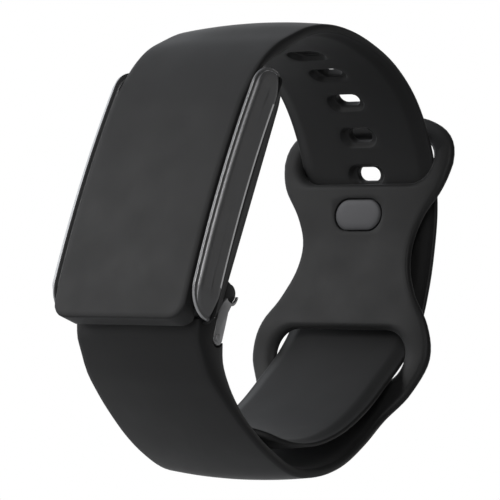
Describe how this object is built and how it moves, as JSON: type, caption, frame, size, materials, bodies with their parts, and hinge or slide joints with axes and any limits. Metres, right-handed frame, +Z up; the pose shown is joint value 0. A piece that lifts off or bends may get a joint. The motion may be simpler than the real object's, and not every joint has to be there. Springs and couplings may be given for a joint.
{
  "type": "fitness tracker band",
  "caption": "Screenless fitness tracker on a silicone wrist band: sensor pod under a flip-up strap cover, stud and ring closure.",
  "frame": {"origin": "centre of the sensor window's skin face, where the pod rests on the wrist", "axes": "+X along the wrist axis, +Y from the pod's skin face into the wrist, +Z up along the pod towards the long strap"},
  "size_m": [0.0362, 0.0624, 0.0739],
  "materials": {
    "strap_silicone": "matt soft-touch silicone",
    "anodised_rail": "fine brushed dark grey anodised",
    "shell_plastic": "fine matt moulded",
    "gasket_rubber": "soft matt",
    "small_steel": "plain satin",
    "window_plastic": "polished dark tint",
    "circuit_board": "solder mask",
    "chip_plastic": "moulded matt",
    "led_plastic": "clear resin",
    "battery_foil": "crinkled pouch foil",
    "flex_film": "amber film",
    "gold_plate": "gold plated",
    "link_steel": "satin grey coated",
    "stud_metal": "satin dark grey coated"
  },
  "bodies": {
    "band": {"long_strap": "strap_silicone", "short_strap": "strap_silicone", "stud_base": "stud_metal", "stud_cap": "stud_metal", "link_pin": "link_steel", "pin_bush": "link_steel"},
    "pod": {"rail_left": "anodised_rail", "rail_right": "anodised_rail", "back_shell": "shell_plastic", "case_lid": "shell_plastic", "lid_gasket": "gasket_rubber", "case_screw_1": "small_steel", "case_screw_2": "small_steel", "case_screw_3": "small_steel", "case_screw_4": "small_steel", "sensor_window": "window_plastic", "sensor_board": "circuit_board", "light_baffle": "chip_plastic", "led_cluster": "led_plastic", "photodiode_1": "chip_plastic", "photodiode_2": "chip_plastic", "photodiode_3": "chip_plastic", "photodiode_4": "chip_plastic", "battery_cell": "battery_foil", "battery_foam": "gasket_rubber", "main_board": "circuit_board", "shield_can": "small_steel", "radio_chip": "chip_plastic", "memory_chip": "chip_plastic", "motion_sensor": "chip_plastic", "battery_flex": "flex_film", "antenna_strip": "gold_plate", "charge_contact_1": "gold_plate", "charge_contact_2": "gold_plate", "motor_cup": "small_steel", "motor_lid": "small_steel", "hinge_bar": "link_steel", "strap_link": "link_steel"},
    "cover": {"face_cover": "strap_silicone", "cover_stiffener": "link_steel"},
    "weight": {"motor_weight": "small_steel"}
  },
  "joints": [
    {"name": "cover_flip", "type": "hinge", "parent": "band", "child": "cover", "pos_m": [0, -0.0081, 0.0224], "axis": [-1, 0, 0], "range_deg": [0, 105], "stiffness_Nm_per_rad": 0.004},
    {"name": "pod_swing", "type": "hinge", "parent": "band", "child": "pod", "pos_m": [0, 0.0007, -0.0219], "axis": [-1, 0, 0], "range_deg": [0, 35]},
    {"name": "weight_slide", "type": "slide", "parent": "pod", "child": "weight", "axis": [0, 1, 0], "range_m": [-0.0004, 0.0004], "stiffness_N_per_m": 1200}
  ]
}
